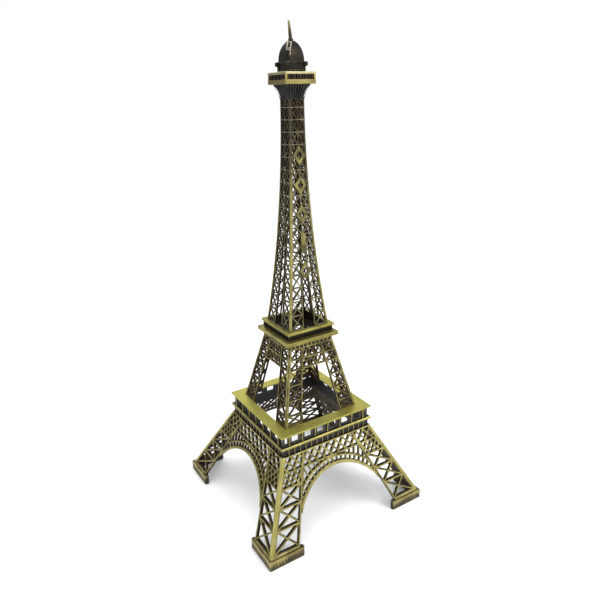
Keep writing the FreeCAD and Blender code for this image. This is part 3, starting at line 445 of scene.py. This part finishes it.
def makeFinish(name, look, extraRubAndHighlight, paler):
    material = bpy.data.materials.new(name)
    material.use_nodes = True
    tree = material.node_tree
    shader = tree.nodes["Principled BSDF"]
    plane = look.get("plane", flatPlane)
    skin = groupNode(tree, castSkin, Size=look["skin"])
    sides = groupNode(tree, towerSides, Foot=plane["foot"], Lean=plane["lean"], Recess=plane["recess"])
    # the edge copy adds extra exposure on bevel faces: edge wear plus a painted highlight
    exposure = mathNode(tree, "MULTIPLY_ADD", sides.outputs["Outer"], look["outer"], look["base"] + extraRubAndHighlight)
    # upward faces get more brass: painted light from above
    exposure = mathNode(tree, "MULTIPLY_ADD", sides.outputs["Up"], look["up"], exposure)
    exposure = mathNode(tree, "MULTIPLY_ADD", sides.outputs["Inner"], look["inner"], exposure)
    if "sunk" in look:
        exposure = mathNode(tree, "MULTIPLY_ADD", sides.outputs["Sunk"], look["sunk"], exposure)
    if "band" in look:
        low, high, share = look["band"]
        risen = rangeNode(tree, sides.outputs["Height"], low, high)
        exposure = mathNode(tree, "MULTIPLY_ADD", risen, share, exposure)
    rubbedAndLit = groupNode(tree, rubbedAndLitMask, Patchy=look["patchy"], Speckled=look["speckled"])
    tree.links.new(exposure, rubbedAndLit.inputs["Exposure"])
    tree.links.new(skin.outputs["Cloud"], rubbedAndLit.inputs["Cloud"])
    tree.links.new(skin.outputs["Grain"], rubbedAndLit.inputs["Grain"])
    mask = rubbedAndLit.outputs["RubbedAndLit"]
    lighter = rangeNode(tree, skin.outputs["Cloud"], *wear["paleRange"],
                        paler, min(1.0, paler + wear["paleSpread"]))
    brass = mixColor(tree, lighter, look["brass"], look["pale"])
    color = mixColor(tree, mask, look["dark"], brass)
    holes = mathNode(tree, "SUBTRACT", 1.0, skin.outputs["Pits"])
    holes = mathNode(tree, "MULTIPLY", holes, wear["pitDark"])
    tree.links.new(mixColor(tree, holes, color, look["dark"]), shader.inputs["Base Color"])
    rough = rangeNode(tree, mask, 0.0, 1.0, look["roughDark"], look["roughBrass"])
    rough = mathNode(tree, "SUBTRACT", rough, wear["grainRough"] / 2)
    rough = mathNode(tree, "MULTIPLY_ADD", skin.outputs["Grain"], wear["grainRough"], rough)
    tree.links.new(rough, shader.inputs["Roughness"])
    metal = rangeNode(tree, mask, *wear["metalRange"], look["metalDark"], 1.0)
    tree.links.new(metal, shader.inputs["Metallic"])
    bump = tree.nodes.new("ShaderNodeBump")
    bump.inputs["Strength"].default_value = look["bump"]
    bump.inputs["Distance"].default_value = wear["bumpDepth"] * mm
    tree.links.new(skin.outputs["Height"], bump.inputs["Height"])
    tree.links.new(bump.outputs["Normal"], shader.inputs["Normal"])
    return material


materials = {}
for finishName, look in finishes.items():
    # each finish's second material goes on the bevel faces, paler and brighter: edge wear plus a painted
    # highlight
    materials[finishName] = (makeFinish(finishName, look, 0.0, 0.0),
                             makeFinish(finishName + "Edge", look, look["edge"], wear["edgePalerWearAndHighlight"]))
print("finishes:", len(materials), "each with its worn, highlighted edge")


# working steps that the pieces share

sideNames = ("front", "right", "back", "left")
cornerNames = ("front_right", "back_right", "back_left", "front_left")


def takeUp(piece):
    deselectAll()
    piece.select_set(True)
    bpy.context.view_layer.objects.active = piece


def applyPlace():
    bpy.ops.object.transform_apply(location=True, rotation=True, scale=True)


def pick(piece, kind, test):
    bpy.ops.object.mode_set(mode="EDIT")
    bpy.ops.mesh.select_mode(type=kind)
    bpy.ops.mesh.select_all(action="DESELECT")
    bpy.ops.object.mode_set(mode="OBJECT")
    mesh = piece.data
    if kind == "FACE":
        for face in mesh.polygons:
            face.select = test(face.center, face.normal)
    else:
        for edge in mesh.edges:
            ends = [mesh.vertices[v].co for v in edge.vertices]
            edge.select = test((ends[0] + ends[1]) / 2, (ends[1] - ends[0]).normalized())
    bpy.ops.object.mode_set(mode="EDIT")


def paint(piece, finish):
    piece.data.materials.clear()
    for material in materials[finish]:
        piece.data.materials.append(material)


def softenEdges(piece, width, segments=2, limit=28, edgeSlot=1):
    bevel = piece.modifiers.new("castEdge", "BEVEL")
    bevel.width = width * mm
    bevel.segments = segments
    bevel.limit_method = "ANGLE"
    bevel.angle_limit = math.radians(limit)
    bevel.use_clamp_overlap = False
    bevel.loop_slide = False
    bevel.miter_outer = "MITER_SHARP"
    # bevel faces take the edge finish, paler and brighter: edge wear plus a painted highlight
    bevel.material = edgeSlot
    bpy.ops.object.modifier_apply(modifier=bevel.name)


def smoothFaces(piece, angle=32):
    bpy.ops.object.shade_smooth_by_angle(angle=math.radians(angle))
    weighting = piece.modifiers.new("flatFacesFirst", "WEIGHTED_NORMAL")
    weighting.mode = "FACE_AREA"
    weighting.keep_sharp = True
    bpy.ops.object.modifier_apply(modifier=weighting.name)


def hand(piece, slotName, *replaced):
    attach(piece, "root")
    if replaced:
        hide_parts(*replaced)


def joinAll(pieces):
    deselectAll()
    for piece in pieces:
        piece.select_set(True)
    bpy.context.view_layer.objects.active = pieces[0]
    bpy.ops.object.join()
    return bpy.context.object


def repeatAcross(piece, count, pitch):
    row = piece.modifiers.new("row", "ARRAY")
    row.count = count
    row.use_relative_offset = False
    row.use_constant_offset = True
    row.constant_offset_displace = (pitch * mm, 0, 0)
    bpy.ops.object.modifier_apply(modifier=row.name)


def aroundTower(piece, name, slotName):
    # the same piece on the other three sides, each with its own mesh
    for quarter in (1, 2, 3):
        takeUp(piece)
        bpy.ops.object.duplicate()
        copy = bpy.context.object
        copy.name = name + "_" + sideNames[quarter]
        copy.rotation_mode = "XYZ"
        copy.rotation_euler = (0, 0, quarter * math.pi / 2)
        applyPlace()
        hand(copy, slotName)
    piece.name = name + "_front"
    hand(piece, slotName)


# castings that keep the frame's shape: copied, cleaned and given soft cast edges

castings = {
    "legCasting": {"nodes": "leg_lattice", "finish": "lowerBronze",
                   "slot": "bronze_lattice", "edge": 0.20},
    "archCasting": {"nodes": "arch", "finish": "lowerBronze", "slot": "bronze_lattice", "edge": 0.16},
    "girderCasting": {"nodes": "girder", "finish": "lowerBronze", "slot": "bronze_lattice", "edge": 0.18},
    "legBar": {"nodes": "leg_corner_post", "finish": "cornerBar", "slot": "brass_bars", "edge": 0.35},
    "plinth": {"nodes": "foot_plinth", "finish": "plinthBronze", "slot": "bronze_plinth", "edge": 0.14},
    "friezeRing": {"nodes": "platform_1_frieze", "finish": "friezeBronze",
                   "slot": "bronze_lattice", "edge": 0.10},
    "parapetWall": {"nodes": "platform_1_parapet", "finish": "blackWall",
                    "slot": "bronze_dark", "edge": 0.12},
    "deckStrip": {"nodes": "platform_1_deck", "finish": "satinRim", "slot": "brass_deck", "edge": 0.22},
    "midLeg": {"nodes": "mid_leg", "finish": "middleBronze", "slot": "bronze_lattice", "edge": 0.14},
    "midGirder": {"nodes": "mid_girder", "finish": "middleBronze",
                  "slot": "bronze_lattice", "edge": 0.14},
    "secondLedge": {"nodes": "platform_2_ledge", "finish": "bandBronze",
                    "slot": "brass_deck", "edge": 0.12},
    "secondWall": {"nodes": "platform_2_wall", "finish": "domeBronze",
                   "slot": "bronze_dark", "edge": 0.10},
    "secondRim": {"nodes": "platform_2_rim", "finish": "secondBrass", "slot": "brass_deck", "edge": 0.25},
    "shaftBar": {"nodes": "shaft_corner_post", "finish": "shaftBar", "slot": "brass_bars", "edge": 0.14},
    "shaftFace": {"nodes": "shaft_lattice", "finish": "shaftBronze",
                  "slot": "bronze_lattice", "edge": 0.06},
    "ornament": {"nodes": "shaft_ornaments", "finish": "ornamentBrass",
                 "slot": "brass_deck", "edge": 0.16},
    "capitalBlock": {"nodes": "capital", "finish": "capitalBlack", "slot": "bronze_dark", "edge": 0.06},
    "galleryBand": {"nodes": "gallery_parapet", "finish": "galleryWall",
                    "slot": "brass_deck", "edge": 0.10},
    "galleryRoof": {"nodes": "gallery_roof", "finish": "galleryTop", "slot": "brass_deck", "edge": 0.18},
    "drumBlock": {"nodes": "lantern_drum", "finish": "domeBronze", "slot": "bronze_dark", "edge": 0.12},
    "finialSet": {"nodes": "corner_finials", "finish": "domeBronze", "slot": "bronze_dark", "edge": 0.20},
}

cleaning = {"weld": 0.002, "flatness": 3, "squareness": 80}    # mm, degrees, degrees


def castFrom(nodeName, pieceName, plan):
    takeUp(frame["nodes"][nodeName])
    bpy.ops.object.duplicate()
    piece = bpy.context.object
    piece.name = pieceName
    del piece["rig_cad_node"]
    paint(piece, plan["finish"])
    for face in piece.data.polygons:
        face.material_index = 0
    bpy.ops.object.mode_set(mode="EDIT")
    bpy.ops.mesh.select_all(action="SELECT")
    bpy.ops.mesh.remove_doubles(threshold=cleaning["weld"] * mm)
    bpy.ops.mesh.tris_convert_to_quads(face_threshold=math.radians(cleaning["flatness"]),
                                       shape_threshold=math.radians(cleaning["squareness"]))
    bpy.ops.object.mode_set(mode="OBJECT")
    softenEdges(piece, plan["edge"])
    smoothFaces(piece)
    hand(piece, plan["slot"], nodeName)


flutes = {"piece": "capitalBlock", "power": 1.6, "margin": 0.2, "footSlice": 0.05, "level": 0.9}


def rubAndHighlightRibs():
    # the ribs between the flutes stand out to the flare's full curve and take the edge finish: worn paler,
    # with a painted highlight
    piece = bpy.data.objects[flutes["piece"]]
    low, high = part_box("capital")
    foot = max(v.co.x for v in piece.data.vertices if v.co.z < low.z + flutes["footSlice"] * mm)
    for face in piece.data.polygons:
        middle = face.center
        share = max(0.0, (middle.z - low.z) / (high.z - low.z))
        curve = foot + (high.x - foot) * share ** flutes["power"]
        reach = max(abs(middle.x), abs(middle.y))
        if abs(face.normal.z) < flutes["level"] and reach > curve - flutes["margin"] * mm:
            face.material_index = 1


for pieceKind, plan in castings.items():
    endings = ("",) + tuple("_" + n for n in sideNames + cornerNames) + tuple(
        "_" + side + "_" + wing for side in sideNames for wing in "ab")
    members = [plan["nodes"] + ending for ending in endings
               if plan["nodes"] + ending in frame["nodes"]]
    for nodeName in members:
        castFrom(nodeName, pieceKind + nodeName[len(plan["nodes"]):], plan)
    print("cast:", pieceKind, len(members))
rubAndHighlightRibs()


# rope edges: slanted beads along the ledges of both platforms

ropes = {
    "lowerRope": {"node": "platform_1_frieze", "drop": 1.0, "bead": (0.62, 0.42, 1.45), "pitch": 1.12,
                  "slant": 32, "inset": 0.10, "rounding": 0.16, "endGap": 0.7, "smoothing": 50},
    "upperRope": {"node": "platform_2_ledge", "drop": 2.0, "bead": (0.62, 0.42, 1.75), "pitch": 1.10,
                  "slant": 32, "inset": 0.10, "rounding": 0.16, "endGap": 0.7, "smoothing": 50},
}


def makeRope(name, rope):
    low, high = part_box(rope["node"])
    reach = high.x - rope["endGap"] * mm
    count = int(2 * reach / (rope["pitch"] * mm))
    start = -(count - 1) / 2 * rope["pitch"] * mm
    deselectAll()
    place = (start, low.y + rope["inset"] * mm, high.z - rope["drop"] * mm)
    bpy.ops.mesh.primitive_cube_add(size=mm, location=place, scale=rope["bead"],
                                    rotation=(0, math.radians(rope["slant"]), 0))
    bead = bpy.context.object
    applyPlace()
    paint(bead, "ledgeBrass")
    softenEdges(bead, rope["rounding"])
    repeatAcross(bead, count, rope["pitch"])
    smoothFaces(bead, rope["smoothing"])
    aroundTower(bead, name, "brass_deck")
    print("rope:", name, count, "beads a side")


for ropeName, rope in ropes.items():
    makeRope(ropeName, rope)


# colonnettes in front of the piers of the first platform's parapet

colonnette = {"pitch": 10.1, "count": 7, "radius": 0.42, "height": 5.2, "lift": 1.1, "proud": 0.10,
              "collar": 0.35, "collarFlare": 1.45, "sides": 14, "rounding": 0.07, "endFacing": 0.9,
              "smoothing": 40}


def makeColonnettes():
    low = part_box("platform_1_parapet_front")[0]
    foot = low.z + colonnette["lift"] * mm
    tall = colonnette["height"] * mm
    start = -(colonnette["count"] - 1) / 2 * colonnette["pitch"] * mm
    deselectAll()
    axis = Vector((start, low.y - colonnette["proud"] * mm, foot))
    bpy.ops.mesh.primitive_cylinder_add(vertices=colonnette["sides"], radius=colonnette["radius"] * mm,
                                        depth=tall, location=axis + Vector((0, 0, tall / 2)))
    column = bpy.context.object
    applyPlace()
    for way in (1, -1):                                # capital, then foot
        pick(column, "FACE", lambda middle, normal: normal.z * way > colonnette["endFacing"])
        bpy.ops.mesh.extrude_region_move()
        flare = colonnette["collarFlare"]
        bpy.ops.transform.resize(value=(flare, flare, 1), center_override=axis)
        rise = (0, 0, way * colonnette["collar"] * mm)
        bpy.ops.mesh.extrude_region_move(TRANSFORM_OT_translate={"value": rise})
        bpy.ops.object.mode_set(mode="OBJECT")
    paint(column, "ledgeBrass")
    softenEdges(column, colonnette["rounding"], segments=1)
    repeatAcross(column, colonnette["count"], colonnette["pitch"])
    smoothFaces(column, colonnette["smoothing"])
    aroundTower(column, "colonnettes", "brass_deck")
    print("colonnettes:", colonnette["count"], "a side")


makeColonnettes()


# strips: thin flat bars across the shaft's faces at the joints of its upper bays

strip = {"tall": 0.42, "deep": 0.40, "proud": 0.10, "fromHeight": 0.186, "topGap": 0.5, "endGap": 0.12,
         "rounding": 0.08, "levelDigits": 4}


def makeStrips():
    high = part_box("shaft_corner_post_front_right")[1]
    levels = {}
    for vertex in frame["nodes"]["shaft_corner_post_front_right"].data.vertices:
        height = round(vertex.co.z, strip["levelDigits"])
        levels[height] = max(levels.get(height, 0.0), vertex.co.x)
    bars = []
    for height, half in sorted(levels.items()):
        if height < strip["fromHeight"] or height > high.z - strip["topGap"] * mm:
            continue
        reach = 2 * (half / mm + strip["proud"] - strip["endGap"])
        deselectAll()
        place = (0, -half + (strip["deep"] / 2 - strip["proud"]) * mm, height)
        bpy.ops.mesh.primitive_cube_add(size=mm, location=place,
                                        scale=(reach, strip["deep"], strip["tall"]))
        bar = bpy.context.object
        applyPlace()
        paint(bar, "stripBronze")
        softenEdges(bar, strip["rounding"], segments=1)
        bars.append(bar)
    row = joinAll(bars)
    smoothFaces(row)
    aroundTower(row, "shaftStrips", "bronze_lattice")
    print("strips:", len(bars), "a side")


makeStrips()


# dome: a four-sided vault drawn up from a square, with a ladder frame on its front left corner

dome = {"rows": 12, "cuts": 3, "top": 0.957, "rise": 11.7, "drumMargin": 0.35, "cornerRounding": 0.8,
        "cornerSegments": 3, "offCorner": 0.02, "aboveFoot": 0.1, "skew": 0.05, "climb": 0.15,
        "smoothing": 50}
ladder = {"footSpread": 1.65, "headSpread": 1.5, "rail": 0.44, "foot": 6.1, "head": 10.5, "steps": 5,
          "spineFoot": 3.3, "spineSpread": 1.5, "spineShare": 0.7, "proud": 0.06, "cornerSink": 0.3,
          "overlap": 0.2, "rounding": 0.07, "smoothing": 40}


def domeHalf(height, square):
    return square * math.sqrt(max(0.0, 1 - (height / dome["rise"]) ** 2))


def makeDome():
    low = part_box("dome")[0]
    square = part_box("lantern_drum")[1].x / mm - dome["drumMargin"]
    deselectAll()
    bpy.ops.mesh.primitive_plane_add(size=2 * square * mm, location=(0, 0, low.z))
    shell = bpy.context.object
    applyPlace()
    bpy.ops.object.mode_set(mode="EDIT")
    bpy.ops.mesh.select_all(action="SELECT")
    bpy.ops.mesh.subdivide(number_cuts=dome["cuts"])
    bpy.ops.object.mode_set(mode="OBJECT")
    pick(shell, "FACE", lambda middle, normal: True)
    before, was = 0.0, square
    for row in range(1, dome["rows"] + 1):
        height = dome["rise"] * dome["top"] * math.sin(math.pi / 2 * row / dome["rows"])
        now = domeHalf(height, square)
        rise = (0, 0, (height - before) * mm)
        bpy.ops.mesh.extrude_region_move(TRANSFORM_OT_translate={"value": rise})
        bpy.ops.transform.resize(value=(now / was, now / was, 1), center_override=(0, 0, 0))
        before, was = height, now
    bpy.ops.mesh.select_all(action="SELECT")
    bpy.ops.mesh.normals_make_consistent(inside=False)
    bpy.ops.object.mode_set(mode="OBJECT")

    def onCorner(middle, way):
        return (abs(abs(middle.x) - abs(middle.y)) < dome["offCorner"] * mm
                and middle.z > low.z + dome["aboveFoot"] * mm
                and abs(abs(way.x) - abs(way.y)) < dome["skew"] and abs(way.z) > dome["climb"])

    pick(shell, "EDGE", onCorner)
    bpy.ops.mesh.bevel(offset=dome["cornerRounding"] * mm, segments=dome["cornerSegments"],
                       affect="EDGES")
    bpy.ops.object.mode_set(mode="OBJECT")
    paint(shell, "domeBronze")
    smoothFaces(shell, dome["smoothing"])
    shell.name = "domeShell"
    hand(shell, "bronze_dark", "dome")
    return low.z, square


def makeRod(start, end, wide):
    along = end - start
    deselectAll()
    bpy.ops.mesh.primitive_cube_add(size=mm, location=(start + end) / 2,
                                    scale=(wide, wide, along.length / mm + ladder["overlap"]))
    rod = bpy.context.object
    rod.rotation_mode = "QUATERNION"
    rod.rotation_quaternion = along.to_track_quat("Z", "Y")
    applyPlace()
    paint(rod, "ladderBrass")
    softenEdges(rod, ladder["rounding"], segments=1)
    return rod


def makeLadder(foot, square):
    # its points lie beside the dome's front left edge, on the left or the front face
    def onFace(height, spread, side):
        half = domeHalf(height, square) + ladder["proud"]
        near = half - spread
        across = (half, near) if side == "left" else (near, half)
        return Vector((-across[0] * mm, -across[1] * mm, foot + height * mm))

    def onEdge(height):
        half = domeHalf(height, square) - dome["cornerRounding"] * ladder["cornerSink"]
        return Vector((-half * mm, -half * mm, foot + height * mm))

    def onRail(height, side):
        share = (height - ladder["foot"]) / span
        spread = ladder["footSpread"] + (ladder["headSpread"] - ladder["footSpread"]) * share
        return onFace(height, spread, side)

    span = ladder["head"] - ladder["foot"]
    heights = [ladder["foot"] + span * n / ladder["steps"] for n in range(ladder["steps"] + 1)]
    rods = []
    for side in ("left", "front"):
        for low, high in zip(heights, heights[1:]):
            rods.append(makeRod(onRail(low, side), onRail(high, side), ladder["rail"]))
        for height in (heights[0], heights[1], heights[-1]):   # the rungs fold round the edge
            rods.append(makeRod(onRail(height, side), onEdge(height), ladder["rail"]))
    middle = (ladder["spineFoot"] + ladder["foot"]) / 2
    for low, high in ((ladder["spineFoot"], middle), (middle, ladder["foot"])):
        rods.append(makeRod(onFace(low, ladder["spineSpread"], "front"),
                            onFace(high, ladder["spineSpread"], "front"),
                            ladder["rail"] * ladder["spineShare"]))
    frameOnDome = joinAll(rods)
    frameOnDome.name = "domeLadder"
    smoothFaces(frameOnDome, ladder["smoothing"])
    hand(frameOnDome, "brass_deck")


domeFoot, domeSquare = makeDome()
makeLadder(domeFoot, domeSquare)
print("dome and its ladder")


# mast: a leaning tapered rod on a collar

mastRod = {"lean": 5.0, "heading": 148.0, "collarRadius": 1.5, "collarHeight": 0.7, "footRadius": 1.1,
           "tipRadius": 0.6, "tipShare": 0.4, "footLift": 0.1, "sides": 20, "rounding": 0.08,
           "edgeLimit": 40, "smoothing": 45,
           "rings": ((0.02, 1.28), (0.07, 1.0), (0.45, 1.0), (0.47, 1.12), (0.50, 1.0), (0.98, 1.0),
                     (1.0, 0.55))}


def makeMast():
    low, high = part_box("mast")
    lean, heading = math.radians(mastRod["lean"]), math.radians(mastRod["heading"])
    way = Vector((math.sin(lean) * math.cos(heading), math.sin(lean) * math.sin(heading), math.cos(lean)))
    foot = Vector((0, 0, low.z + mastRod["footLift"] * mm))
    long = (high.z - mastRod["tipRadius"] * mm * mastRod["tipShare"] - foot.z) / math.cos(lean)
    collar = mastRod["collarHeight"] * mm
    deselectAll()
    bpy.ops.mesh.primitive_circle_add(vertices=mastRod["sides"], radius=mastRod["collarRadius"] * mm,
                                      fill_type="NGON", location=(0, 0, low.z))
    mast = bpy.context.object
    applyPlace()
    pick(mast, "FACE", lambda middle, normal: True)
    bpy.ops.mesh.extrude_region_move(TRANSFORM_OT_translate={"value": (0, 0, collar)})
    was, place = mastRod["collarRadius"], Vector((0, 0, low.z + collar))
    for share, swell in mastRod["rings"]:
        radius = (mastRod["footRadius"] + (mastRod["tipRadius"] - mastRod["footRadius"]) * share) * swell
        nextPlace = foot + way * (collar + (long - collar) * share)
        bpy.ops.mesh.extrude_region_move(TRANSFORM_OT_translate={"value": nextPlace - place})
        bpy.ops.transform.resize(value=(radius / was,) * 3, center_override=nextPlace)
        was, place = radius, nextPlace
    bpy.ops.mesh.select_all(action="SELECT")
    bpy.ops.mesh.normals_make_consistent(inside=False)
    bpy.ops.object.mode_set(mode="OBJECT")
    paint(mast, "mastBronze")
    softenEdges(mast, mastRod["rounding"], segments=1, limit=mastRod["edgeLimit"], edgeSlot=0)
    smoothFaces(mast, mastRod["smoothing"])
    mast.name = "mastRod"
    hand(mast, "bronze_dark", "mast")


makeMast()
print("mast")


# gallery: mullions and corner posts before the windows, a dark core behind them

gallery = {"mullion": (0.55, 0.40), "pitch": 2.0, "count": 9, "inset": 0.55, "rounding": 0.08,
           "corner": 1.1, "cornerInset": 0.62, "cornerRounding": 0.16, "band": 2.4, "overlap": 0.1,
           "coreHalf": 7.9, "coreGap": 0.15, "coreBorder": 0.5, "coreSunk": 0.3, "coreRounding": 0.12,
           "level": 0.1}


def makeGallery():
    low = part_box("gallery_parapet")[0]
    foot, head = low.z + gallery["band"] * mm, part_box("gallery_roof")[0].z
    middle, tall = (foot + head) / 2, (head - foot) / mm
    start = -(gallery["count"] - 1) / 2 * gallery["pitch"] * mm
    deselectAll()
    bpy.ops.mesh.primitive_cube_add(size=mm, location=(start, low.y + gallery["inset"] * mm, middle),
                                    scale=(*gallery["mullion"], tall + gallery["overlap"]))
    mullion = bpy.context.object
    applyPlace()
    paint(mullion, "bandBronze")
    softenEdges(mullion, gallery["rounding"], segments=1)
    repeatAcross(mullion, gallery["count"], gallery["pitch"])
    smoothFaces(mullion)
    aroundTower(mullion, "galleryMullions", "brass_deck")

    deselectAll()
    place = (low.x + gallery["cornerInset"] * mm, low.y + gallery["cornerInset"] * mm, middle)
    bpy.ops.mesh.primitive_cube_add(size=mm, location=place,
                                    scale=(gallery["corner"],) * 2 + (tall + gallery["overlap"],))
    post = bpy.context.object
    applyPlace()
    paint(post, "ledgeBrass")
    softenEdges(post, gallery["cornerRounding"])
    smoothFaces(post)
    aroundTower(post, "galleryPost", "brass_deck")

    deselectAll()
    bpy.ops.mesh.primitive_cube_add(size=mm, location=(0, 0, middle),
                                    scale=(2 * gallery["coreHalf"],) * 2 + (tall - gallery["coreGap"],))
    core = bpy.context.object
    applyPlace()
    pick(core, "FACE", lambda middle, normal: abs(normal.z) < gallery["level"])
    bpy.ops.mesh.inset(thickness=gallery["coreBorder"] * mm, depth=-gallery["coreSunk"] * mm,
                       use_individual=True)
    bpy.ops.object.mode_set(mode="OBJECT")
    paint(core, "blackWall")
    softenEdges(core, gallery["coreRounding"], segments=1, edgeSlot=0)
    smoothFaces(core)
    core.name = "galleryCore"
    hand(core, "bronze_dark")


makeGallery()
print("gallery")
